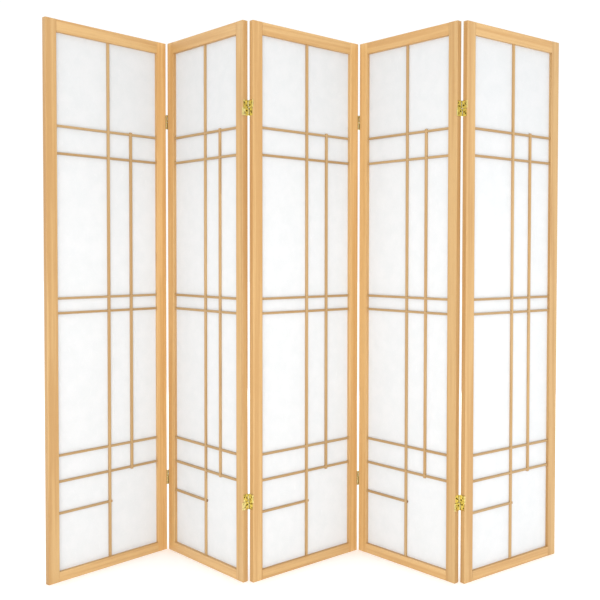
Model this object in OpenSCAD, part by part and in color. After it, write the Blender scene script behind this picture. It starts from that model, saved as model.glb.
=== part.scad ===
// Five-panel folding shoji screen: paper-backed timber lattices joined by two-way brass hinges.
// Millimetres. +Z is up, +X runs along the screen, +Y runs away from its front.
// The origin is on the floor, under the centre of the screen's outline in plan.

/* [Screen] */
// Number of panels
panel_count = 5; // [5:1:5]
// Width of one panel
panel_w = 444.5; // [360:0.5:600]
// Height of one panel
panel_h = 1784; // [1450:1:2200]
// Thickness of the panel's frame
panel_t = 19; // [16:0.5:28]

/* [Standing angles] */
// Heading of the first panel, turned from the screen's length
first_heading = 50; // [0:1:85]
// Fold between panels 1 and 2, counted from flat
end_fold_left = 94.5; // [20:0.5:150]
// Folds between panels 2 and 3 and between panels 3 and 4, counted from flat
middle_fold = 88.5; // [20:0.5:150]
// Fold between panels 4 and 5, counted from flat
end_fold_right = 84; // [20:0.5:150]

/* [Frame members] */
// Face width of the stiles
stile_w = 37; // [26:0.5:50]
// Face width of the top rail
top_rail_w = 39.5; // [28:0.5:60]
// Face width of the bottom rail
bottom_rail_w = 32; // [28:0.5:60]
// Radius of the rounded long edges
arris_r = 1.2; // [0.6:0.1:2]
// Length of a rail's tenon
tenon_l = 16; // [8:0.5:22]
// Thickness of a rail's tenon
tenon_t = 6; // [4:0.5:7]
// Shoulder above and below a rail's tenon
tenon_shoulder = 7; // [6:0.5:10]
// Room left at the end of each mortise
mortise_end_room = 0.5; // [0.2:0.1:1]

/* [Lattice] */
// Depth of the lattice's face behind the frame's face
lattice_recess = 5; // [3:0.5:6]
// Face width of the lattice's uprights
upright_w = 8.5; // [6:0.5:14]
// Face width of the cross bars
cross_bar_w = 7.5; // [6:0.5:14]
// Depth of the lattice bars
bar_d = 6.5; // [4:0.5:8]
// Length that a bar's end is let into the frame
bar_let_in = 4; // [2:0.5:5]
// Distance that a stopped bar runs on past the bar it crosses
bar_overrun = 4; // [2:0.5:10]
// Drop from the panel's top to the first cross bar
upper_bar_drop = 332.5; // [200:0.5:420]
// Spacing of the upper pair of cross bars
upper_pair_gap = 86.5; // [40:0.5:130]
// Height of the middle pair above the panel's mid height
middle_pair_rise = -10; // [-60:0.5:60]
// Spacing of the middle pair of cross bars
middle_pair_gap = 47; // [24:0.5:90]
// Height of the lower pair's lower bar above the floor
lower_bar_rise = 320; // [280:0.5:420]
// Spacing of the lower pair of cross bars
lower_pair_gap = 84; // [40:0.5:130]
// Height of the half-width bar above the floor
half_bar_rise = 218; // [120:0.5:250]
// Distance from the mullion to the short upright
short_upright_offset = 85; // [40:0.5:110]

/* [Paper] */
// Thickness of the paper
paper_t = 0.4; // [0.2:0.1:0.8]
// Width of the rebate's ledge that the paper is glued to
paper_ledge = 5; // [4:0.5:6]
// Room between the paper's edge and the rebate's wall
paper_edge_room = 0.5; // [0.2:0.1:1]

/* [Hinges] */
// Height of one hinge
hinge_h = 49.5; // [40:0.5:70]
// Drop from the panel's top to the upper hinge's centre
upper_hinge_drop = 273.5; // [120:0.5:320]
// Height of the lower hinge's centre above the floor
lower_hinge_rise = 257.5; // [120:0.5:300]
// Gap between two panels that stand in line
fold_gap = 4; // [4:0.1:6]
// Distance of the pins outside the panel's faces
pin_out = 2; // [2:0.1:3.5]
// Outer diameter of the knuckles
knuckle_d = 3.8; // [3.4:0.1:3.9]
// Diameter of the hinge pins
pin_d = 1.8; // [1.4:0.1:2.2]
// Radial running clearance of a pin in its knuckles
pin_clearance = 0.05; // [0.03:0.01:0.1]
// Thickness of the hinge's plates
plate_t = 0.9; // [0.7:0.1:1]
// Height of a link's knuckle
link_knuckle_h = 10; // [8:0.5:12]
// End clearance between two knuckles
knuckle_gap = 0.3; // [0.2:0.05:0.5]
// Gap between the upper and lower halves of a hinge
half_gap = 0.5; // [0.4:0.1:3]
// Distance from the panel's face to the near edge of a plate
plate_inset = 1.5; // [1:0.1:3]
// Radial room between a link's plate and the leaves' knuckles
link_room = 0.3; // [0.2:0.05:0.5]

/* [Screws] */
// Diameter of the screw's shank
screw_d = 3; // [2.5:0.1:3.5]
// Length of the screw
screw_l = 16; // [10:0.5:20]
// Length of the screw's point
screw_point_l = 3; // [2:0.5:4]
// Distance of a screw from the panel's face
screw_inset = 5.5; // [5:0.1:7]
// Height that a screw stands above or below the middle of its half
screw_stagger = 3.5; // [2:0.1:5]
// Radial clearance round a screw
screw_clearance = 0.05; // [0.02:0.01:0.1]
// Diameter of the access holes in a link
access_d = 6.4; // [6:0.1:6.8]
// Width of the recess in a screw's head
recess_w = 1; // [0.5:0.1:1.2]
// Span of the recess in a screw's head
recess_span = 3; // [2.6:0.1:3.2]
// Depth of the recess in a screw's head
recess_d = 0.8; // [0.4:0.1:0.8]

/* [Hidden] */
$fn = 48;
slop = 1;                      // how far a cutter runs past the face it cuts
arc_steps = 3;                 // flats round a rounded long edge
arc_turn = 90 / arc_steps;
wood = "#E2B478";
lattice_wood = "#D9AB6E";
paper_white = "#F4F4F0";
brass = "#C9A24A";

knuckle_r = knuckle_d / 2;
pin_r = pin_d / 2;
screw_r = screw_d / 2;
screw_head_r = screw_r + plate_t;
half_h = (hinge_h - half_gap) / 2;
leaf_knuckle_h = (half_h - link_knuckle_h) / 2 - knuckle_gap;
pin_line = fold_gap / 2;       // pin line, outward from a panel's end face

paper_y = lattice_recess + bar_d;
opening_w = panel_w - 2 * stile_w;
opening_h = panel_h - top_rail_w - bottom_rail_w;
mullion_x = panel_w / 2;
short_upright_x = mullion_x + short_upright_offset;
half_bar_end = mullion_x + upright_w / 2 + bar_overrun;

upper_bar_z = panel_h - upper_bar_drop;
middle_z = panel_h / 2 + middle_pair_rise;
cross_bar_heights = [
    upper_bar_z,
    upper_bar_z - upper_pair_gap,
    middle_z + middle_pair_gap / 2,
    middle_z - middle_pair_gap / 2,
    lower_bar_rise + lower_pair_gap,
    lower_bar_rise
];
short_upright_base = lower_bar_rise - cross_bar_w / 2 - bar_overrun;
short_upright_top = upper_bar_z + cross_bar_w / 2 + bar_overrun;
hinge_heights = [panel_h - upper_hinge_drop, lower_hinge_rise];

// The first and third folds bring fronts together and turn on the front pins.
// The second and fourth bring backs together and turn on the back pins.
function folds_forward(fold) = fold % 2 == 1;
function fold_angle(fold) =
    fold == 1 ? end_fold_left : fold == panel_count - 1 ? end_fold_right : middle_fold;
function pin_y(at_back) = at_back ? panel_t + pin_out : -pin_out;
function turned(p, a) = [p.x * cos(a) - p.y * sin(a), p.x * sin(a) + p.y * cos(a)];

// Heading of a panel, and its front left corner in plan, counted on from the first panel
function heading(panel) =
    panel == 1 ? first_heading
    : heading(panel - 1) + (folds_forward(panel - 1) ? -1 : 1) * fold_angle(panel - 1);
function chained(panel) =
    let (y = pin_y(!folds_forward(panel - 1)))
    panel == 1 ? [0, 0]
    : chained(panel - 1) + turned([panel_w + pin_line, y], heading(panel - 1))
      - turned([-pin_line, y], heading(panel));
function spot(panel, p) = chained(panel) + turned(p, heading(panel));

// Centre of the screen's outline in plan, from its rounded corners and its knuckles
panels = [1 : panel_count];
corner_spots = [
    for (i = panels, x = [arris_r, panel_w - arris_r], y = [arris_r, panel_t - arris_r])
        spot(i, [x, y])
];
knuckle_spots = [
    for (i = panels, right_end = [false, true], at_back = [false, true])
        if (has_fold(i, right_end))
            spot(i, [right_end ? panel_w + pin_line : -pin_line, pin_y(at_back)])
];
function low(axis) = min(
    min([for (p = corner_spots) p[axis] - arris_r]),
    min([for (p = knuckle_spots) p[axis] - knuckle_r])
);
function high(axis) = max(
    max([for (p = corner_spots) p[axis] + arris_r]),
    max([for (p = knuckle_spots) p[axis] + knuckle_r])
);
plan_centre = [for (axis = [0, 1]) (low(axis) + high(axis)) / 2];

// Hinge layout. A panel's right end starts a fold, and its left end finishes the one before.
function has_fold(panel, right_end) = right_end ? panel < panel_count : panel > 1;
function fold_at(panel, right_end) = right_end ? panel : panel - 1;
// Upper leaves on right ends and lower leaves on left ends have their knuckles at the back
function leaf_pin_at_back(right_end, upper) = right_end == upper;
// Each half's link rides with the panel that its fold's working pin leaves it on
function link_is_upper(panel, right_end) = right_end == folds_forward(fold_at(panel, right_end));
function half_base(upper) = upper ? half_gap / 2 : -half_gap / 2 - half_h;
// Leaf screws sit away from the leaf's own knuckles, and are staggered from panel to panel
function screw_y(pin_at_back) = pin_at_back ? screw_inset : panel_t - screw_inset;
function screw_z(right_end) = half_h / 2 + (right_end ? screw_stagger : -screw_stagger);

// Outline of a frame member's section, with rounded corners
function section(w, t) = [
    for (c = [[w - arris_r, t - arris_r, 0], [arris_r, t - arris_r, 90],
              [arris_r, arris_r, 180], [w - arris_r, arris_r, 270]])
        for (s = [0 : arc_steps])
            [c.x + arris_r * cos(c.z + s * arc_turn), c.y + arris_r * sin(c.z + s * arc_turn)]
];

// Puts children, drawn in a panel's own frame, where that panel stands
module on_panel(panel) {
    at = chained(panel) - plan_centre;
    translate([at.x, at.y, 0]) rotate([0, 0, heading(panel)]) children();
}

// Puts children at one end of a panel, drawn with +X outward from the end face
module on_end(right_end) {
    if (right_end) translate([panel_w, 0, 0]) children();
    else mirror([1, 0, 0]) children();
}

// Rebate at the back of the frame that takes the paper
module paper_rebate() {
    translate([stile_w - paper_ledge, paper_y, bottom_rail_w - paper_ledge])
        cube([opening_w + 2 * paper_ledge, panel_t, opening_h + 2 * paper_ledge]);
}

// Tenon's block at the left end of a rail, or its mortise when it is given end room
module tenon(rail_z, rail_w, end_room = 0) {
    l = tenon_l + end_room;
    translate([stile_w - l, (panel_t - tenon_t) / 2, rail_z + tenon_shoulder])
        cube([l + slop, tenon_t, rail_w - 2 * tenon_shoulder]);
}

module tenon_pair(rail_z, rail_w) {
    for (side = [0, 1]) mirrored_across_panel(side) tenon(rail_z, rail_w);
}

module mirrored_across_panel(side) {
    if (side == 0) children();
    else translate([panel_w, 0, 0]) mirror([1, 0, 0]) children();
}

// One cross bar's blank, from one height and one end to the other
module cross_bar_blank(z, x_end) {
    x_start = stile_w - bar_let_in;
    translate([x_start, lattice_recess, z - cross_bar_w / 2])
        cube([x_end - x_start, bar_d, cross_bar_w]);
}

module cross_bar_blanks() {
    for (z = cross_bar_heights) cross_bar_blank(z, panel_w - stile_w + bar_let_in);
    cross_bar_blank(half_bar_rise, half_bar_end);
}

module upright_blank(x, z_start, z_end) {
    translate([x - upright_w / 2, lattice_recess, z_start])
        cube([upright_w, bar_d, z_end - z_start]);
}

module mullion_blank() {
    upright_blank(mullion_x, bottom_rail_w - bar_let_in, panel_h - top_rail_w + bar_let_in);
}

// Front halves of the cross bars' crossings, cut away for the uprights that pass in front
module front_laps(x) {
    for (z = concat(cross_bar_heights, [half_bar_rise]))
        translate([x - upright_w / 2, lattice_recess - slop, z - cross_bar_w])
            cube([upright_w, slop + bar_d / 2, 2 * cross_bar_w]);
}

// Back halves of an upright's crossings, cut away for the cross bars that pass behind
module back_laps(x, heights) {
    for (z = heights)
        translate([x - upright_w, lattice_recess + bar_d / 2, z - cross_bar_w / 2])
            cube([2 * upright_w, slop + bar_d / 2, cross_bar_w]);
}

// Screw holes in a stile's outer edge, for one end of the panel
module screw_holes(right_end) {
    at_screws(right_end)
        translate([-screw_l, 0, 0]) rotate([0, 90, 0])
            cylinder(r = screw_r + screw_clearance, h = screw_l + slop);
}

// Puts children at each screw of one end, drawn with +X outward and the end face at x = 0
module at_screws(right_end) {
    on_end(right_end)
        for (z = hinge_heights, upper = [false, true])
            translate([0, screw_y(leaf_pin_at_back(right_end, upper)),
                       z + half_base(upper) + screw_z(right_end)])
                children();
}

module stile_blank() {
    linear_extrude(height = panel_h) polygon(section(stile_w, panel_t));
}

module left_stile(panel) {
    color(wood) on_panel(panel) difference() {
        stile_blank();
        paper_rebate();
        tenon(0, bottom_rail_w, mortise_end_room);
        tenon(panel_h - top_rail_w, top_rail_w, mortise_end_room);
        cross_bar_blanks();
        if (has_fold(panel, false)) screw_holes(false);
    }
}

module right_stile(panel) {
    color(wood) on_panel(panel) difference() {
        translate([panel_w - stile_w, 0, 0]) stile_blank();
        paper_rebate();
        mirrored_across_panel(1) {
            tenon(0, bottom_rail_w, mortise_end_room);
            tenon(panel_h - top_rail_w, top_rail_w, mortise_end_room);
        }
        cross_bar_blanks();
        if (has_fold(panel, true)) screw_holes(true);
    }
}

module rail(z, w) {
    difference() {
        union() {
            translate([stile_w, 0, z])
                rotate([90, 0, 90]) linear_extrude(height = opening_w) polygon(section(panel_t, w));
            tenon_pair(z, w);
        }
        paper_rebate();
        mullion_blank();
    }
}

module top_rail(panel) {
    color(wood) on_panel(panel) rail(panel_h - top_rail_w, top_rail_w);
}

module bottom_rail(panel) {
    color(wood) on_panel(panel) rail(0, bottom_rail_w);
}

module mullion(panel) {
    color(lattice_wood) on_panel(panel) difference() {
        mullion_blank();
        back_laps(mullion_x, concat(cross_bar_heights, [half_bar_rise]));
    }
}

module short_upright(panel) {
    color(lattice_wood) on_panel(panel) difference() {
        upright_blank(short_upright_x, short_upright_base, short_upright_top);
        back_laps(short_upright_x, cross_bar_heights);
    }
}

// Six full-width bars and the half-width one, each its own solid
module cross_bars(panel) {
    color(lattice_wood) on_panel(panel) difference() {
        cross_bar_blanks();
        front_laps(mullion_x);
        front_laps(short_upright_x);
    }
}

// Sheet glued to the rebate's ledge and to the backs of the bars
module paper(panel) {
    edge = paper_ledge - paper_edge_room;
    color(paper_white) on_panel(panel)
        translate([stile_w - edge, paper_y, bottom_rail_w - edge])
            cube([opening_w + 2 * edge, paper_t, opening_h + 2 * edge]);
}

// Puts children at each half of each hinge on one end, drawn up from the half's foot
module at_half(right_end, upper) {
    on_end(right_end)
        for (z = hinge_heights) translate([0, 0, z + half_base(upper)]) children();
}

// Plate screwed to an end face, with a knuckle at its top and one at its foot
module leaf(pin_at_back, hole_z) {
    knuckle_y = pin_y(pin_at_back);
    plate_y = pin_at_back ? plate_inset : 0;
    difference() {
        union() {
            translate([0, plate_y, 0]) cube([plate_t, panel_t - plate_inset, half_h]);
            for (z = [0, half_h - leaf_knuckle_h]) {
                translate([pin_line, knuckle_y, z]) cylinder(r = knuckle_r, h = leaf_knuckle_h);
                translate([0, pin_at_back ? panel_t - slop : knuckle_y, z])
                    cube([plate_t, pin_out + slop, leaf_knuckle_h]);
            }
        }
        translate([pin_line, knuckle_y, -slop])
            cylinder(r = pin_r + pin_clearance, h = half_h + 2 * slop);
        translate([0, screw_y(pin_at_back), hole_z]) rotate([0, 90, 0]) screw_head(screw_clearance);
    }
}

// Plate that ties a half's two pin lines together, with one knuckle on each and a hole over
// each of the two leaf screws behind it
module link(upper) {
    reach = knuckle_r + link_room;
    difference() {
        union() {
            translate([pin_line - plate_t / 2, reach - pin_out, 0])
                cube([plate_t, panel_t + 2 * pin_out - 2 * reach, half_h]);
            translate([0, 0, (half_h - link_knuckle_h) / 2]) {
                translate([pin_line - plate_t / 2, -pin_out, 0])
                    cube([plate_t, panel_t + 2 * pin_out, link_knuckle_h]);
                for (at_back = [false, true])
                    translate([pin_line, pin_y(at_back), 0])
                        cylinder(r = knuckle_r, h = link_knuckle_h);
            }
        }
        for (at_back = [false, true])
            translate([pin_line, pin_y(at_back), -slop])
                cylinder(r = pin_r + pin_clearance, h = half_h + 2 * slop);
        for (right_end = [false, true])
            translate([0, screw_y(leaf_pin_at_back(right_end, upper)), screw_z(right_end)])
                rotate([0, 90, 0]) cylinder(r = access_d / 2, h = fold_gap);
    }
}

// Countersunk head, drawn along +Z with its flat face at z = plate_t
module screw_head(clearance = 0) {
    cylinder(r1 = screw_r + clearance, r2 = screw_head_r + clearance, h = plate_t);
}

module screw() {
    difference() {
        union() {
            screw_head();
            translate([0, 0, screw_point_l - screw_l])
                cylinder(r = screw_r, h = screw_l - screw_point_l);
            translate([0, 0, -screw_l])
                cylinder(r1 = screw_r / 5, r2 = screw_r, h = screw_point_l);
        }
        for (a = [0, 90])
            rotate([0, 0, a]) translate([-recess_span / 2, -recess_w / 2, plate_t - recess_d])
                cube([recess_span, recess_w, recess_d + slop]);
    }
}

module hinge_leaves(panel) {
    color(brass) on_panel(panel)
        for (right_end = [false, true], upper = [false, true])
            if (has_fold(panel, right_end))
                at_half(right_end, upper)
                    leaf(leaf_pin_at_back(right_end, upper), screw_z(right_end));
}

module hinge_links(panel) {
    color(brass) on_panel(panel)
        for (right_end = [false, true])
            if (has_fold(panel, right_end))
                at_half(right_end, link_is_upper(panel, right_end))
                    link(link_is_upper(panel, right_end));
}

module hinge_pins(panel) {
    color(brass) on_panel(panel)
        for (right_end = [false, true], upper = [false, true])
            if (has_fold(panel, right_end))
                at_half(right_end, upper)
                    translate([pin_line, pin_y(leaf_pin_at_back(right_end, upper)), 0])
                        cylinder(r = pin_r, h = half_h);
}

module hinge_screws(panel) {
    color(brass) on_panel(panel)
        for (right_end = [false, true])
            if (has_fold(panel, right_end))
                at_screws(right_end) rotate([0, 90, 0]) screw();
}

PIECES = [
    "left_stile", "right_stile", "top_rail", "bottom_rail", "mullion", "short_upright",
    "cross_bars", "paper", "hinge_leaves", "hinge_links", "hinge_pins", "hinge_screws"
];

module piece(panel, name) {
    children();
}

for (i = panels) {
    piece(i, "left_stile") left_stile(i);
    piece(i, "right_stile") right_stile(i);
    piece(i, "top_rail") top_rail(i);
    piece(i, "bottom_rail") bottom_rail(i);
    piece(i, "mullion") mullion(i);
    piece(i, "short_upright") short_upright(i);
    piece(i, "cross_bars") cross_bars(i);
    piece(i, "paper") paper(i);
    piece(i, "hinge_leaves") hinge_leaves(i);
    piece(i, "hinge_links") hinge_links(i);
    piece(i, "hinge_pins") hinge_pins(i);
    piece(i, "hinge_screws") hinge_screws(i);
}
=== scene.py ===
# %% [markdown]
# # A folding shoji screen
#
# Five tall wooden panels stand in a zigzag. Each panel is a light frame with a sparse lattice
# in it, and white paper is glued to the lattice from behind. Brass hinges that fold both ways
# join the panels. This lesson dresses a measured construction model of the screen: it reads
# the model, gives each part its real surface, lights the screen softly and sets up a camera.
#
# The construction model comes first, because the screen's sizes and places below are read from
# it and not typed in again. A part that moves is a body, and each new piece rides on one.

# %% Load the construction model
import math

import bmesh
import bpy
import numpy as np
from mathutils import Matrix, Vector


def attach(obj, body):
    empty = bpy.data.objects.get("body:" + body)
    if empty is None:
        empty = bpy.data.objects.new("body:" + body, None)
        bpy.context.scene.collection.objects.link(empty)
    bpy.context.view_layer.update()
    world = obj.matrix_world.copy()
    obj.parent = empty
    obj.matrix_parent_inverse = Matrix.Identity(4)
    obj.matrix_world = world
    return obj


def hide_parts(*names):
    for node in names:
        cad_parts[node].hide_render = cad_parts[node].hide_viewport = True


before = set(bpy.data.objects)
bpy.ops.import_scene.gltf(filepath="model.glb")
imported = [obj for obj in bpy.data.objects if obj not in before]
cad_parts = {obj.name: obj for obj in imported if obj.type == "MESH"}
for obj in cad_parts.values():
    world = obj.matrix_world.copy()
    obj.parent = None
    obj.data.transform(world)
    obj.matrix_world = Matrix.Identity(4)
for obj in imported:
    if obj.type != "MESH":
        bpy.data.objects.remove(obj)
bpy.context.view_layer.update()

# %% [markdown]
# ## The camera
#
# A tall, narrow object looks natural from about eye height at a distance of a few metres, with
# a lens near 50 mm on a 36 mm sensor. The uprights of the screen stay almost parallel, because
# the camera is nearly level. The lens is shifted a little sideways and down, as on an
# architect's camera, so that the screen fills the picture without turning the camera.

# %% Set up the camera
LENS = 51.2  # millimetres, on a sensor 36 mm wide
SHIFT = (-0.1470, -0.0370)  # shares of the picture's width
EYE = (0.2465, -2.8485, 1.0460)  # metres
LOOKS_DOWN, LEANS = 1.5, -0.21  # degrees

camera_data = bpy.data.cameras.new("camera")
camera_data.lens = LENS
camera_data.sensor_width = 36.0
camera_data.shift_x, camera_data.shift_y = SHIFT
camera_data.clip_start = 0.05
camera_data.clip_end = 200.0
camera = bpy.data.objects.new("camera", camera_data)
camera.location = EYE
camera.rotation_euler = (math.radians(90 - LOOKS_DOWN), math.radians(LEANS), 0.0)
bpy.context.scene.collection.objects.link(camera)
bpy.context.scene.camera = camera
print("The camera stands", round(-camera.location.y, 2), "m in front of the screen's middle.")

# %% [markdown]
# ## Where each panel stands
#
# The panels stand at different headings, but they are all built alike. It is easier to think
# about one panel lying square: x runs along its width, y runs from its front face backwards,
# and z goes up. A heading can be found from two parts of the panel: the line from the middle of
# its left stile to the middle of its right stile. The corner of the panel is then the lowest
# x and y that any of the stiles' points has in those directions.

# %% Find each panel's own directions and corner
def mesh_points(mesh):
    """All the points of a mesh, as rows of x, y and z."""
    flat = np.empty(3 * len(mesh.vertices), np.float32)
    mesh.vertices.foreach_get("co", flat)
    return flat.reshape(-1, 3).astype(float)


def points_of(node):
    """All the points of one part of the construction model."""
    return mesh_points(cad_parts[node].data)


def middle_of(points):
    """The middle of the box round some points."""
    return (points.min(0) + points.max(0)) / 2


class Panel:
    """One panel's place: a corner, and three directions as the rows of a square array."""

    def __init__(self, name):
        self.name = name
        left, right = points_of(f"{name}_left_stile"), points_of(f"{name}_right_stile")
        along = middle_of(right) - middle_of(left)
        along[2] = 0.0
        along /= np.linalg.norm(along)
        self.axes = np.array([along, [-along[1], along[0], 0.0], [0.0, 0.0, 1.0]])
        both = np.vstack([left, right]) @ self.axes.T
        self.corner = both.min(0)
        self.size = both.max(0) - both.min(0)

    def square(self, points):
        """Turns points of the room into the panel's own: a dot product with each direction."""
        return points @ self.axes.T - self.corner

    def stand(self, points):
        """Turns the panel's own points into points of the room: the reverse of square."""
        return (points + self.corner) @ self.axes


panels = [Panel(f"panel_{number}") for number in range(1, 6)]
for panel in panels:
    heading = math.degrees(math.atan2(panel.axes[0, 1], panel.axes[0, 0]))
    print(panel.name, "heads", round(heading, 1), "degrees, size", panel.size.round(4))

# %% [markdown]
# ## Writing a finish as sums
#
# A procedural finish is arithmetic on coordinates: stretch them, add some noise, take a share.
# Wiring that by hand gives a tangle of Math nodes. One small class wraps an output socket and
# teaches it Python's signs, so that `1 - mask * 0.2` lays down the same nodes and still reads
# as a sum. A second class holds one material, and its single method adds any other node.

# %% A socket that understands arithmetic
class Number:
    """An output socket that carries a number. Each sign adds one Math node."""

    def __init__(self, board, socket):
        self.board, self.socket = board, socket

    def worked(self, operation, *values):
        """Adds a Math node with these values at its sockets, and gives its output."""
        return self.board.add("ShaderNodeMath", {"operation": operation}, dict(enumerate(values)))

    def __add__(self, other):
        return self.worked("ADD", self, other)

    def __sub__(self, other):
        return self.worked("SUBTRACT", self, other)

    def __rsub__(self, other):
        return self.worked("SUBTRACT", other, self)

    def __mul__(self, other):
        return self.worked("MULTIPLY", self, other)

    def __abs__(self):
        return self.worked("ABSOLUTE", self)

    __radd__ = __add__
    __rmul__ = __mul__


class Board:
    """One material with its Principled shader, and a method that adds a node of any type."""

    def __init__(self, name, **constants):
        self.material = bpy.data.materials.new(name)
        self.material.use_nodes = True
        self.tree = self.material.node_tree
        self.shader = self.tree.nodes["Principled BSDF"]
        for socket, value in constants.items():
            self.shader.inputs[socket.replace("_", " ")].default_value = value

    def give(self, socket, value):
        """Sets an input socket to a number or colour, or links it to another node's output."""
        if isinstance(value, Number):
            self.tree.links.new(value.socket, socket)
        else:
            socket.default_value = value

    def add(self, kind, settings=None, inputs=None, output=0):
        """Adds a node of a type. Its settings come first, because they decide its sockets."""
        node = self.tree.nodes.new(kind)
        for name, value in (settings or {}).items():
            setattr(node, name, value)
        for name, value in (inputs or {}).items():
            self.give(node.inputs[name], value)
        return Number(self, node.outputs[output])

    def feed(self, **values):
        """Links values to the shader's sockets."""
        for name, value in values.items():
            self.give(self.shader.inputs[name.replace("_", " ")], value)


# %% The few steps that most finishes share
def attribute(board, name, output="Vector"):
    """A value stored on the piece's own mesh."""
    return board.add("ShaderNodeAttribute", {"attribute_name": name}, output=output)


def noise(board, where, sizes, detail, roughness=0.5, distortion=0.0, shift=(0.0, 0.0, 0.0)):
    """Soft noise from 0 to 1 and mostly near a half. The coordinates times the sizes, one for
    each direction, plus a shift, give about one bump for each unit."""
    place = board.add(
        "ShaderNodeVectorMath", {"operation": "MULTIPLY_ADD"}, {0: where, 1: sizes, 2: shift}
    )
    return board.add(
        "ShaderNodeTexNoise",
        {},
        {
            "Vector": place,
            "Scale": 1.0,
            "Detail": detail,
            "Roughness": roughness,
            "Distortion": distortion,
        },
        "Fac",
    )


def between(board, value, low, high):
    """A smooth step: 0 below low, 1 above high, and an S curve between them."""
    return board.add(
        "ShaderNodeMapRange",
        {"interpolation_type": "SMOOTHSTEP", "clamp": True},
        {"Value": value, "From Min": low, "From Max": high, "To Min": 0.0, "To Max": 1.0},
    )


def blended(board, share, first, second, how="MIX"):
    """Two colours mixed by a share."""
    return board.add(
        "ShaderNodeMix",
        {"data_type": "RGBA", "blend_type": how, "clamp_factor": True},
        {0: share, 6: first, 7: second},
        2,
    )


def bumped(board, height, depth, strength):
    """A normal that leans as if the surface rose by height times depth."""
    return board.add(
        "ShaderNodeBump", {}, {"Height": height, "Distance": depth, "Strength": strength}
    )


def seen(red, green, blue):
    """A colour as a paint chart gives it, 0 to 255, turned into the light that it reflects:
    each part over 255 and then, but for the darkest, ((c + 0.055) / 1.055) to the power 2.4."""
    chart = np.array([red, green, blue]) / 255.0
    light = np.where(chart <= 0.04045, chart / 12.92, ((chart + 0.055) / 1.055) ** 2.4)
    return (*light.tolist(), 1.0)


print("A mid grey reflects", round(seen(128, 128, 128)[0], 3), "of the light.")

# %% [markdown]
# ## The frame's wood
#
# The stiles and rails are planed softwood with a clear satin lacquer: pale honey, straight in
# the grain, and each member a little different from the next. An image of wood would slide over
# the edges. Real wood is solid, so the finish is too: every point of a member knows how far it
# lies from the heart of its tree, and along the fibres. Growth rings are then circles round that
# heart, which come out as fine lines on a face and as arcs on a sawn end, with no extra work.
# Sawn ends are a little darker, because they soak up more lacquer. The narrow side faces of the
# frame and the undersides of the bars are painted darker too, as painted shade.

# %% The wood finish
RINGS = 430.0  # a metre, counted from the heart
SWAY = 9.0  # rings that the slow noise pushes them by
RING_DEPTH, BUMP_STRENGTH = 0.00007, 0.6  # metres, and a share
# bumps a metre across, through and along the fibres
SWAY_SIZES, STREAK_SIZES, BROAD_SIZES = (14.0, 14.0, 1.3), (95.0, 95.0, 1.7), (26.0, 26.0, 0.9)
FIBRE_SIZES, PORE_SIZES = (1700.0, 1700.0, 34.0), (900.0, 900.0, 22.0)
BROAD_SHARE = 0.55  # of the broad streaks beside the fine ones
# where a smooth step starts and ends: in shares of a ring's width, and in values of a noise
LATE_RISE, LATE_DROP = (0.45, 0.93), (0.95, 1.0)
STREAK_STEP, FIBRE_STEP, PORE_STEP = (0.64, 0.91), (0.3, 0.7), (0.66, 0.74)
# how far each layer pulls the colour towards the deep one
LATE_WOOD, FIBRE_LINES, PORE_MARKS = 0.32, 0.16, 0.30


def wood_finish(name, pale, honey, deep, roughness, end_and_shade_share):
    """Rings: the distance from the heart, pushed about by slow noise, counted in ring widths;
    what is left over after whole rings rises slowly and drops at once. Streaks: noise that is
    thirty to fifty times longer along the fibres than across. Fibres: the same, much finer.
    Ends and shade: the share that each face has stored, for its sawn end grain and for painted
    shade on side faces and undersides, times the share given, darkens and roughens."""
    board = Board(name, IOR=1.48, Coat_Weight=0.12, Coat_Roughness=0.28, Coat_IOR=1.5)
    where = attribute(board, "grain")
    # sawn end grain, and painted shade on the frame's side faces and the bars' undersides
    edge = attribute(board, "end_grain_and_shade", "Fac")
    tone_and_painted_light = attribute(board, "tone_and_painted_light", "Fac")

    across = board.add(
        "ShaderNodeVectorMath", {"operation": "MULTIPLY"}, {0: where, 1: (1.0, 1.0, 0.0)}
    )
    reach = board.add("ShaderNodeVectorMath", {"operation": "LENGTH"}, {0: across}, "Value")
    rings = reach * RINGS + noise(board, where, SWAY_SIZES, 2.0) * SWAY
    ring = rings.worked("FRACT", rings)
    late = between(board, ring, *LATE_RISE) * (1 - between(board, ring, *LATE_DROP))

    streak = noise(board, where, STREAK_SIZES, 3.0, 0.55, shift=(3.0, 8.0, 1.0))
    broad = noise(board, where, BROAD_SIZES, 1.0, shift=(9.0, 1.0, 4.0))
    fibre = noise(board, where, FIBRE_SIZES, 3.0, 0.6)
    pore = noise(board, where, PORE_SIZES, 1.0, shift=(5.0, 5.0, 5.0))
    pores = between(board, pore, *PORE_STEP)

    paleness = between(board, streak + broad * BROAD_SHARE, *STREAK_STEP)
    colour = blended(board, paleness, honey, pale)
    for share in (
        late * LATE_WOOD,
        between(board, fibre, *FIBRE_STEP) * FIBRE_LINES,
        pores * PORE_MARKS,
        edge * end_and_shade_share,
    ):
        colour = blended(board, share, colour, deep)
    # the board's own tone, times painted light in the valleys and painted shade at the ridges
    light = board.add("ShaderNodeCombineXYZ", {}, {0: tone_and_painted_light, 1: tone_and_painted_light, 2: tone_and_painted_light})
    colour = board.add("ShaderNodeVectorMath", {"operation": "MULTIPLY"}, {0: colour, 1: light})
    board.feed(
        Base_Color=colour,
        Roughness=roughness + (fibre - 0.5) * 0.16 + late * -0.05 + edge * 0.18,
        Normal=bumped(
            board, fibre * 0.55 + late * 0.45 - pores * 0.8, RING_DEPTH, BUMP_STRENGTH
        ),
    )
    return board.material


frame_wood = wood_finish(
    "frame_wood", seen(212, 174, 117), seen(197, 154, 96), seen(159, 112, 60), 0.40, 0.26
)
lattice_wood = wood_finish(
    "lattice_wood", seen(194, 160, 111), seen(185, 148, 97), seen(134, 97, 53), 0.46, 0.85
)
print("Wood finishes:", frame_wood.name, "and", lattice_wood.name)

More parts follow.
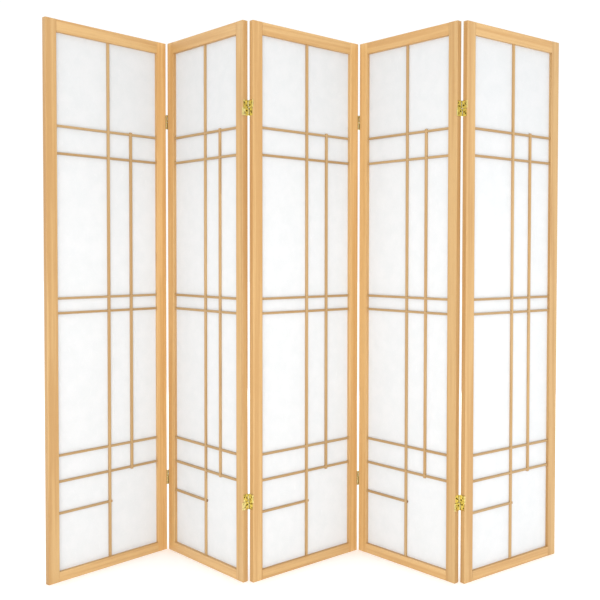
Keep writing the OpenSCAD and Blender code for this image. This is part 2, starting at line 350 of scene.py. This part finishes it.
# %% [markdown]
# ## Planed members with softened edges
#
# The construction model gives every member its true shape: the rounded long edges, the rebate
# for the paper, the half-lap joints. Its surface, though, is loose triangles with nothing to say
# about grain. One could paint the triangles as they are. Here each member is copied instead: its
# points are merged, flat triangles grow together into whole faces, and three values are stored
# on it for the wood finish. On the lattice bars a Bevel modifier then takes the sharp edge off,
# as sandpaper does. The frame's long edges are round in the construction model already.

# %% Copy a member as one closed surface
FLAT_TO = 0.5  # degrees between triangles that still lie in one plane
SHARP_FROM = 35.0  # degrees between faces that meet in a sharp edge
SOFTENED_FROM = 40.0  # degrees, for the edges that are rounded
FLATNESS = 90  # how far large faces outweigh small ones in the shading, where 50 is neutral


def closed_surface(node):
    """The points of a part with no point twice, and its triangles counted in those points."""
    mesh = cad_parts[node].data
    corners = np.empty(len(mesh.loops), np.int32)
    mesh.loops.foreach_get("vertex_index", corners)
    points = points_of(node)
    _, first, place = np.unique(
        np.round(points, 6), axis=0, return_index=True, return_inverse=True
    )
    triangles = place.reshape(-1)[corners].reshape(-1, 3)
    whole = (
        (triangles[:, 0] != triangles[:, 1])
        & (triangles[:, 1] != triangles[:, 2])
        & (triangles[:, 2] != triangles[:, 0])
    )
    return points[first], triangles[whole]


def whole_faces(mesh):
    """Joins triangles that lie in one plane into one face, as far as FLAT_TO."""
    surface = bmesh.new()
    surface.from_mesh(mesh)
    bmesh.ops.dissolve_limit(
        surface, angle_limit=math.radians(FLAT_TO), verts=surface.verts, edges=surface.edges
    )
    surface.to_mesh(mesh)
    surface.free()


def put_in_scene(name, points, faces, material):
    """Makes a mesh object at the origin from arrays of points and faces."""
    mesh = bpy.data.meshes.new(name)
    mesh.from_pydata(points.tolist(), [], faces.tolist())
    mesh.materials.append(material)
    piece = bpy.data.objects.new(name, mesh)
    bpy.context.scene.collection.objects.link(piece)
    return piece


def store(mesh, name, kind, domain, values):
    """Stores an array of values on a mesh, one for each of its points or faces."""
    slot = mesh.attributes.new(name, kind, domain)
    slot.data.foreach_set(
        "vector" if kind == "FLOAT_VECTOR" else "value", values.astype(np.float32).ravel()
    )


def soften_edges(piece, width):
    """Rounds the edges that turn by more than SOFTENED_FROM, in two steps."""
    bevel = piece.modifiers.new("soft edges", "BEVEL")
    bevel.width = width
    bevel.segments = 2
    bevel.limit_method = "ANGLE"
    bevel.angle_limit = math.radians(SOFTENED_FROM)


def weigh(piece):
    """Lets large faces decide the shading at their borders, so that they look flat."""
    flat = piece.modifiers.new("flat faces", "WEIGHTED_NORMAL")
    flat.keep_sharp = True
    flat.weight = FLATNESS


def mesh_normals(mesh):
    """The directions that a mesh's faces point in, as rows."""
    flat = np.empty(3 * len(mesh.polygons), np.float32)
    mesh.polygons.foreach_get("normal", flat)
    return flat.reshape(-1, 3).astype(float)


# %% [markdown]
# Which way the fibres run differs: upright members have them along z, and rails and cross bars
# along the panel's width. The stored grain coordinates put the fibres third in every case, so
# one finish serves all. Their zero is the heart of the tree, which lies a hand's breadth away
# from the member, in a direction of its own for each member. Cross bars share one mesh, and the
# gaps between their heights tell them apart.

# %% Store the grain on a member
HEART_FROM, HEART_TO = 0.06, 0.12  # metres from a board to the middle of its tree
HEART_LEAN = 40.0  # degrees
LOG_LENGTH = 20.0  # metres of log that the boards were cut from, so no two share a stretch
SAWN_END = 0.9  # a face is a sawn end if more of its normal than this runs along the fibres
UNDERSIDE_SHADE = 0.5  # share of painted shade on a bar's underside
BOARD_GAP = 0.02  # metres: more than one bar's own points leave, less than two bars leave
grower = np.random.default_rng(41)


def board_numbers(heights):
    """Numbers points by board: the count goes up where sorted heights jump by BOARD_GAP."""
    order = np.argsort(heights)
    numbers = np.empty(len(heights), int)
    numbers[order] = np.cumsum(np.diff(heights[order], prepend=heights[order][0]) > BOARD_GAP)
    return numbers


def end_grain_and_shade(panel, mesh, fibres, in_frame):
    """How dark each face is painted, 0 to 1: all of a sawn end, whose end grain soaks up more
    lacquer; in the frame one minus the part of the normal that points to the front or back, which
    is painted shade on the side faces; in the lattice half of the part that points down, which is
    painted shade on the undersides."""
    normals = mesh_normals(mesh)
    sawn = np.abs(normals @ fibres) > SAWN_END
    if in_frame:
        return np.maximum(sawn, 1 - np.abs(normals @ panel.axes[1]))
    return np.maximum(sawn, UNDERSIDE_SHADE * np.maximum(-normals[:, 2], 0.0))


def store_grain(panel, mesh, fibres_upright, lightness, tone_and_painted_light_spread, in_frame, one_board):
    """Grain is (across, through, along) in metres from the tree's heart. Each board has its own
    heart and lightness: the heart lies HEART_FROM to HEART_TO off, to one side and up to
    HEART_LEAN in front or behind, and the stored lightness is the lightness given times one plus
    a chance part. On some stiles the lightness given holds painted light in the valleys and
    painted shade at the ridges."""
    local = panel.square(mesh_points(mesh))
    turned = local if fibres_upright else local[:, [2, 1, 0]]
    boards = np.zeros(len(local), int) if one_board else board_numbers(local[:, 2])
    count = boards.max() + 1
    reach = grower.uniform(HEART_FROM, HEART_TO, count)
    lean = np.radians(grower.uniform(-HEART_LEAN, HEART_LEAN, count))
    side = grower.choice([-1.0, 1.0], count)
    along = grower.uniform(0, LOG_LENGTH, count)
    heart = np.stack([side * reach * np.cos(lean), reach * np.sin(lean), along], 1)
    tone_and_painted_light = lightness * (1.0 + grower.normal(0.0, tone_and_painted_light_spread, count))
    middles = np.array([middle_of(turned[boards == b]) for b in range(count)])
    middles[:, 2] = 0.0
    store(mesh, "grain", "FLOAT_VECTOR", "POINT", turned - middles[boards] + heart[boards])
    store(mesh, "tone_and_painted_light", "FLOAT", "POINT", tone_and_painted_light[boards])
    fibres = panel.axes[2] if fibres_upright else panel.axes[0]
    store(mesh, "end_grain_and_shade", "FLOAT", "FACE", end_grain_and_shade(panel, mesh, fibres, in_frame))


# %% Dress the stiles, rails and lattice bars
MEMBERS = {
    # part: (fibres upright, material slot, softened edge in metres, lightness, its spread)
    "left_stile": (True, "frame_wood", 0.0, 1.0, 0.022),
    "right_stile": (True, "frame_wood", 0.0, 1.0, 0.022),
    "top_rail": (False, "frame_wood", 0.0, 1.0, 0.022),
    "bottom_rail": (False, "frame_wood", 0.0, 1.0, 0.022),
    "mullion": (True, "lattice_wood", 0.0006, 1.0, 0.02),
    "short_upright": (True, "lattice_wood", 0.0006, 1.0, 0.02),
    "cross_bars": (False, "lattice_wood", 0.0006, 0.89, 0.02),
}
# How light each stile is beside the finish's own colours: raised on the stiles in the valleys as
# painted light, lowered on the stiles at the ridges and the outer ends as painted shade
STILE_PAINTED_LIGHT = {
    "panel_1_left_stile": 0.95,
    "panel_1_right_stile": 1.17,
    "panel_2_right_stile": 0.90,
    "panel_3_right_stile": 1.04,
    "panel_4_left_stile": 1.05,
    "panel_4_right_stile": 0.88,
    "panel_5_left_stile": 0.96,
    "panel_5_right_stile": 0.92,
}
WOOD = {"frame_wood": frame_wood, "lattice_wood": lattice_wood}

members = []
for panel in panels:
    for part, (upright, slot_name, edge, lightness, spread) in MEMBERS.items():
        node = f"{panel.name}_{part}"
        piece = put_in_scene(f"{node}_planed", *closed_surface(node), WOOD[slot_name])
        whole_faces(piece.data)
        piece.data.shade_smooth()
        piece.data.set_sharp_from_angle(angle=math.radians(SHARP_FROM))
        store_grain(
            panel,
            piece.data,
            fibres_upright=upright,
            lightness=lightness * STILE_PAINTED_LIGHT.get(node, 1.0),
            tone_and_painted_light_spread=spread,
            in_frame=slot_name == "frame_wood",
            one_board=part != "cross_bars",
        )
        if edge:
            soften_edges(piece, edge)
        weigh(piece)
        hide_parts(node)
        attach(piece, panel.name)
        members.append(piece)
print(len(members), "members,", sum(len(m.data.polygons) for m in members), "faces")

# %% [markdown]
# ## The paper
#
# Shoji paper is long mulberry fibres in a thin white sheet. It is glued to the backs of the bars
# and to a ledge in the frame, and it stays nearly flat: between the bars it stands out by a few
# tenths of a millimetre where it dried unevenly. It could be one flat face, but raking light
# would show nothing on it. So the sheet is a grid, held flat at every bar and free between them.

# %% Work out the sheet
FREE_AT = 0.03  # metres from a bar where the paper is quite free
WAVES = 8
SHORTEST_WAVE, LONGEST_WAVE = 0.09, 0.26  # metres


def hold(x, z, bars):
    """How free the paper is at each point: the distance to the nearest bar over FREE_AT, from 0
    on a bar to 1 well away from all of them, as an S curve. A bar is its low and high x, then
    its low and high z."""
    free = np.full(x.shape, 1.0)
    for x0, x1, z0, z1 in bars:
        dx = np.maximum(np.maximum(x0 - x, x - x1), 0.0)
        dz = np.maximum(np.maximum(z0 - z, z - z1), 0.0)
        free = np.minimum(free, np.hypot(dx, dz) / FREE_AT)
    return free * free * (3 - 2 * free)


def waves(x, z, draw):
    """A slow uneven surface: a sum of plane waves, each the sine of a direction's distance
    over a length of 90 to 260 mm, weighted so that long waves stand highest, and all of it
    divided by half their number."""
    height = np.zeros(x.shape)
    for _ in range(WAVES):
        length = draw.uniform(SHORTEST_WAVE, LONGEST_WAVE)
        angle, start = draw.uniform(0, np.pi), draw.uniform(0, 7)
        phase = 2 * np.pi * (x * np.cos(angle) + z * np.sin(angle)) / length + start
        height += np.sin(phase) * length / LONGEST_WAVE
    return height / (WAVES / 2)


def sheet_faces(columns, rows):
    """The four-cornered faces of a closed sheet: a front grid, a back grid after it in the list
    of points, and a strip round the rim that joins the two."""
    at = np.arange(columns * rows).reshape(rows, columns)
    a, b, c, d = at[:-1, :-1], at[:-1, 1:], at[1:, 1:], at[1:, :-1]
    front = np.stack([a, b, c, d], -1).reshape(-1, 4)
    back = front[:, ::-1] + columns * rows
    rim = np.concatenate([at[0, :-1], at[:-1, -1], at[-1, :0:-1], at[:0:-1, 0]])
    after = np.roll(rim, -1)
    edge = np.stack([rim, rim + columns * rows, after + columns * rows, after], -1)
    return np.vstack([front, back, edge])


# %% [markdown]
# The finish of the paper is quiet: a faint cloudiness where the pulp lies thicker, a few flecks
# and a web of fibres. A fibre is drawn where a soft noise crosses its middle value, because those
# places are long, thin, curved lines. They lift the surface a little. Towards its top the sheet
# is painted slightly greyer, as painted shade.

# %% The paper finish
# bumps a metre along x, y and z of each noise
CLOUD_SIZES, FLECK_SIZES = (24.0, 24.0, 24.0), (210.0, 210.0, 210.0)
LONG_FIBRE_SIZES, SHORT_FIBRE_SIZES = (60.0, 60.0, 22.0), (120.0, 120.0, 260.0)
THIN_PULP, THICK_PULP = seen(213, 215, 216), seen(217, 218, 219)
FIBRE_COLOUR, FLECK_COLOUR = seen(224, 226, 227), seen(214, 211, 203)
CLOUD_STEP, FLECK_STEP = (0.3, 0.7), (0.62, 0.75)  # values of the noise
LONG_LINE, SHORT_LINE = (0.0, 0.012), (0.0, 0.010)  # distances of the noise from a half
TOP_SHADE_FROM, TOP_SHADE_TO = 0.95, 1.8  # metres above the floor, where the painted shade at the top starts and where it is full
PAINTED_TOP_SHADE = (0.915, 0.915, 0.915, 1.0)  # the share of the colour that is left at the top, as painted shade
FIBRE_RISE, FIBRE_STRENGTH = 0.00005, 0.5  # metres, and a share


def paper_finish():
    """Cloud: noise a few centimetres wide. Fibres: one minus the distance of a noise from a
    half, sharpened, in two sizes and two main directions. Flecks: where a fine noise is high.
    Painted shade at the top: the colour times a share below one, from not at all at the lower
    height to wholly at the upper height."""
    board = Board(
        "shoji_paper", IOR=1.45, Specular_IOR_Level=0.3, Sheen_Weight=0.08, Sheen_Roughness=0.6
    )
    where = attribute(board, "sheet")
    cloud = noise(board, where, CLOUD_SIZES, 4.0, 0.6)
    fleck = noise(board, where, FLECK_SIZES, 2.0)
    long_fibre = noise(board, where, LONG_FIBRE_SIZES, 1.0, 0.4, 1.2)
    short_fibre = noise(board, where, SHORT_FIBRE_SIZES, 1.0, 0.4, 0.8, shift=(4.0, 4.0, 4.0))
    long_line = 1 - between(board, abs(long_fibre - 0.5), *LONG_LINE)
    short_line = 1 - between(board, abs(short_fibre - 0.5), *SHORT_LINE)
    web = long_line * 0.7 + short_line * 0.5

    colour = blended(board, between(board, cloud, *CLOUD_STEP), THIN_PULP, THICK_PULP)
    colour = blended(board, web * 0.5, colour, FIBRE_COLOUR)
    colour = blended(board, between(board, fleck, *FLECK_STEP) * 0.10, colour, FLECK_COLOUR)
    height = board.add("ShaderNodeSeparateXYZ", {}, {0: where}, 2)
    # painted shade towards the top of the sheet
    top_shade_share = between(board, height, TOP_SHADE_FROM, TOP_SHADE_TO)
    board.feed(
        Base_Color=blended(board, top_shade_share, colour, PAINTED_TOP_SHADE, "MULTIPLY"),
        Roughness=0.86 - web * 0.06,
        Normal=bumped(board, web * 0.6 + fleck * 0.4, FIBRE_RISE, FIBRE_STRENGTH),
    )
    return board.material


# %% Hang a sheet in each panel
SHEET_STEP = 0.010  # metres between the grid's lines
PAPER_RISE = 0.0002  # metres
RISE_SHIFT = 0.3  # share of the rise that free paper stands out on average
SHEETS_APART = 0.7  # metres between two sheets in the pulp that they were cut from
ROUND_TO = 50.0  # degrees between faces that still shade as one surface
shoji_paper = paper_finish()
drying = np.random.default_rng(12)


def bar_boxes(panel):
    """The box of every lattice bar in a panel, seen from the front, as (x0, x1, z0, z1)."""
    boxes = []
    for part in ("mullion", "short_upright", "cross_bars"):
        local = panel.square(points_of(f"{panel.name}_{part}"))
        boards = board_numbers(local[:, 2]) if part == "cross_bars" else np.zeros(len(local), int)
        for number in range(boards.max() + 1):
            low, high = local[boards == number].min(0), local[boards == number].max(0)
            boxes.append((low[0], high[0], low[2], high[2]))
    return boxes


def frame_boxes(panel):
    """The frame round the opening, as four such boxes."""
    wide, tall = panel.size[0], panel.size[2]
    left = panel.square(points_of(f"{panel.name}_left_stile")).max(0)[0]
    right = panel.square(points_of(f"{panel.name}_right_stile")).min(0)[0]
    low = panel.square(points_of(f"{panel.name}_bottom_rail")).max(0)[2]
    high = panel.square(points_of(f"{panel.name}_top_rail")).min(0)[2]
    return [(0, left, 0, tall), (right, wide, 0, tall), (0, wide, 0, low), (0, wide, high, tall)]


def sheet_points(panel):
    """A grid over the sheet's width and height. The front stands at the bars' backs plus the
    waves times how free the paper is, and the back is the same surface one thickness behind."""
    local = panel.square(points_of(f"{panel.name}_paper"))
    low, high = local.min(0), local.max(0)
    columns = int((high[0] - low[0]) / SHEET_STEP) + 1
    rows = int((high[2] - low[2]) / SHEET_STEP) + 1
    x, z = np.meshgrid(np.linspace(low[0], high[0], columns), np.linspace(low[2], high[2], rows))
    free = hold(x, z, bar_boxes(panel) + frame_boxes(panel))
    rise = PAPER_RISE * free * (waves(x, z, drying) + RISE_SHIFT)
    grid = np.stack([x, low[1] + rise, z], -1).reshape(-1, 3)
    both = np.vstack([grid, grid + [0.0, high[1] - low[1], 0.0]])
    return both, sheet_faces(columns, rows)


for number, panel in enumerate(panels):
    points, faces = sheet_points(panel)
    sheet = put_in_scene(f"{panel.name}_washi", panel.stand(points), faces, shoji_paper)
    sheet.data.shade_smooth()
    sheet.data.set_sharp_from_angle(angle=math.radians(ROUND_TO))
    cut_from = points + [0.0, SHEETS_APART * number, 0.0]
    store(sheet.data, "sheet", "FLOAT_VECTOR", "POINT", cut_from)
    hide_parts(f"{panel.name}_paper")
    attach(sheet, panel.name)
print("Each sheet is", np.ptp(points, axis=0).round(4), "metres, with", len(faces), "faces.")

# %% [markdown]
# ## The brass
#
# The hinges are stamped and rolled brass, polished and then plated, so they are smooth and
# yellow, with hairline marks from handling. Metal has no colour of its own except in what it
# mirrors: the colour goes into Base Color with Metallic at one, and the life comes from uneven
# roughness. In places the brass is a little dimmer, as where a finger has been. Corners, holes
# and the rings round the knuckles are painted brown as painted shade, and the screws are painted
# darker than the plates, also as painted shade. The corners could be painted by hand, but an
# Ambient Occlusion node finds them at every pose. The shapes in the construction model are right
# as they are, and keep their places.

# %% The brass finish
# bumps a metre along x, y and z of each noise
HAIRLINE_SIZES, CROSS_SIZES = (2600.0, 2600.0, 160.0), (240.0, 240.0, 3100.0)
DIM_SIZES = (150.0, 150.0, 150.0)
# painted shade: the brown that corners and holes are painted
CORNER_SHADE_COLOUR = seen(74, 52, 18)
CORNER_SHADE_REACH = 0.005  # metres
CORNER_SHADE_DEPTH = 0.85  # share of the painted shade's colour in the deepest corner
OPEN_STEP = (0.40, 0.92)  # the share of open space where the brass gets all of the painted shade, and where none
HAIRLINE_STEP, CROSS_STEP = (0.58, 0.72), (0.6, 0.74)  # values of the noise
DIM_COLOUR_STEP, DIM_ROUGH_STEP = (0.45, 0.75), (0.4, 0.7)  # values of the noise
HAIRLINE_DEPTH, HAIRLINE_STRENGTH = 0.00002, 0.5  # metres, and a share


def brass_finish(name, bright, dull, roughness):
    """Hairlines: noise squeezed to threads in two directions. Dimness: broad noise that pulls the
    colour towards brown, as where a finger has been. Painted shade: brown in corners and holes,
    at points where little of the space within the reach is open, as an Ambient Occlusion node
    finds them."""
    board = Board(name, Metallic=1.0)
    where = board.add("ShaderNodeTexCoord", output="Object")
    fine = noise(board, where, HAIRLINE_SIZES, 2.0)
    cross = noise(board, where, CROSS_SIZES, 2.0, shift=(2.0, 7.0, 5.0))
    dim = noise(board, where, DIM_SIZES, 3.0, 0.6)
    open_share = board.add(
        "ShaderNodeAmbientOcclusion", {"samples": 8}, {"Distance": CORNER_SHADE_REACH}, "AO"
    )
    # painted shade where little of the space round a point is open
    corner_shade = 1 - between(board, open_share + (dim - 0.5) * 0.5, *OPEN_STEP)
    marks = between(board, fine, *HAIRLINE_STEP) * 0.5 + between(board, cross, *CROSS_STEP) * 0.5
    touched = blended(board, between(board, dim, *DIM_COLOUR_STEP) * 0.5, bright, dull)
    board.feed(
        Base_Color=blended(board, corner_shade * CORNER_SHADE_DEPTH, touched, CORNER_SHADE_COLOUR),
        Roughness=roughness + marks * 0.14 + between(board, dim, *DIM_ROUGH_STEP) * 0.10,
        Normal=bumped(board, marks + dim * 0.4, HAIRLINE_DEPTH, HAIRLINE_STRENGTH),
    )
    return board.material


hinge_brass = brass_finish("hinge_brass", seen(234, 218, 146), seen(116, 92, 38), 0.17)
# the screws are painted dark: painted shade in their recesses
screw_brass = brass_finish("screw_brass", seen(88, 68, 28), seen(60, 44, 16), 0.24)
BRASS = {
    "hinge_leaves": hinge_brass,
    "hinge_links": hinge_brass,
    "hinge_pins": hinge_brass,
    "hinge_screws": screw_brass,
}
for panel in panels:
    for part, material in BRASS.items():
        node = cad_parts[f"{panel.name}_{part}"]
        node.data.materials.clear()
        node.data.materials.append(material)
print("Brass on", len(BRASS) * len(panels), "parts")

# %% [markdown]
# ## Floor and light
#
# The screen stands in a white studio, where light comes from everywhere. A white world does most
# of it. Four large soft boxes do the rest: a strong one straight in front, a weak one on each
# side of it, and one behind, which lights the back and the edges of the frame. The floor is a
# plain pale sheet that glows a little, so that it is as white as the studio.

# %% The floor
FLOOR_HALF = 30.0  # metres from the middle to a side
FLOOR_GLOW = 0.15
FLOOR_CLOUD_SIZES = (1.5, 1.5, 1.5)  # bumps a metre


def plain_floor():
    """A large square at height zero with a nearly white matt finish."""
    board = Board(
        "pale_floor", Roughness=0.9, Emission_Color=(1, 1, 1, 1), Emission_Strength=FLOOR_GLOW
    )
    where = board.add("ShaderNodeTexCoord", output="Object")
    cloud = noise(board, where, FLOOR_CLOUD_SIZES, 2.0)
    board.feed(Base_Color=blended(board, cloud, seen(250, 250, 250), seen(253, 253, 253)))
    corners = np.array([[-1, -1, 0], [1, -1, 0], [1, 1, 0], [-1, 1, 0]]) * FLOOR_HALF
    floor = put_in_scene("floor", corners, np.array([[0, 1, 2, 3]]), board.material)


plain_floor()

# %% The light
WORLD_STRENGTH = 1.04
SOFT_BOXES = {
    # name: (place, the point it faces, width and height in metres, watts)
    "key light": ((2.6, -3.0, 0.9), (0.2, 0.0, 0.7), 1.8, 1.2, 6.0),
    "front light": ((0.2, -3.6, 0.8), (0.0, 0.0, 0.7), 2.6, 1.0, 52.0),
    "fill light": ((-2.2, -3.2, 0.9), (-0.1, 0.0, 0.7), 1.8, 1.2, 8.0),
    "back light": ((0.2, 3.8, 0.8), (0.0, 0.0, 0.8), 2.6, 1.0, 40.0),
}


def soft_box(name, place, aim, width, height, watts):
    """A large rectangular lamp that stands at a place and faces a point."""
    lamp = bpy.data.lights.new(name, "AREA")
    lamp.shape = "RECTANGLE"
    lamp.size, lamp.size_y = width, height
    lamp.energy = watts
    box = bpy.data.objects.new(name, lamp)
    box.location = place
    box.rotation_euler = (Vector(aim) - Vector(place)).to_track_quat("-Z", "Y").to_euler()
    bpy.context.scene.collection.objects.link(box)


world = bpy.data.worlds.new("white studio")
world.use_nodes = True
sky = world.node_tree.nodes["Background"]
sky.inputs["Color"].default_value = (1.0, 1.0, 1.0, 1.0)
sky.inputs["Strength"].default_value = WORLD_STRENGTH
bpy.context.scene.world = world
bpy.context.scene.view_settings.view_transform = "Standard"

for name, settings in SOFT_BOXES.items():
    soft_box(name, *settings)
